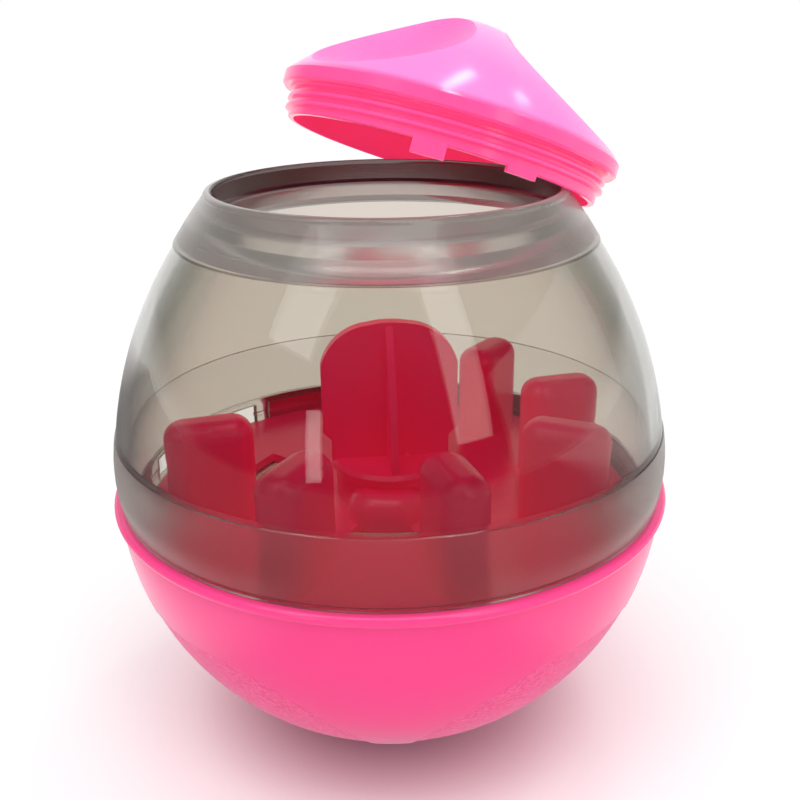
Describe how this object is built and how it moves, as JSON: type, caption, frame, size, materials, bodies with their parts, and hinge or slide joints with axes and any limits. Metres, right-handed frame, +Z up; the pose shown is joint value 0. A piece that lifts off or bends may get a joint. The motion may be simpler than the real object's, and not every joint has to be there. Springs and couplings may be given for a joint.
{
  "type": "treat ball",
  "caption": "Weighted tumbling treat ball with a turning clear dome, inner maze and loose threaded lid.",
  "frame": {"origin": "centre of the small flat foot that the ball stands on", "axes": "+Z up along the ball's axis, -Y towards the side the picture shows"},
  "size_m": [0.12, 0.12, 0.1521],
  "materials": {
    "bowl_plastic": "glossy, fine-grained in the lower panels",
    "maze_plastic": "satin",
    "lid_plastic": "glossy",
    "smoke_plastic": "clear smoke, frosted on the collar and the equator band",
    "weight_steel": "plain",
    "screw_steel": "zinc plated"
  },
  "bodies": {
    "base": {"base_bowl": "bowl_plastic", "floor_plate": "smoke_plastic", "weight": "weight_steel", "weight_screws": "screw_steel"},
    "dome": {"dome": "smoke_plastic"},
    "maze": {"maze_plate": "maze_plastic", "maze_grip": "maze_plastic"},
    "lid": {"lid": "lid_plastic"}
  },
  "joints": [
    {"name": "dome_turn", "type": "hinge", "parent": "base", "child": "dome", "pos_m": [0, 0, 0.058], "axis": [0, 0, 1], "continuous": true},
    {"name": "maze_turn", "type": "hinge", "parent": "base", "child": "maze", "pos_m": [0, 0, 0.051], "axis": [0, 0, 1], "continuous": true},
    {"name": "lid_lift", "type": "slide", "parent": "dome", "child": "lid", "axis": [0, 0, 1], "range_m": [0, 0.07]}
  ]
}
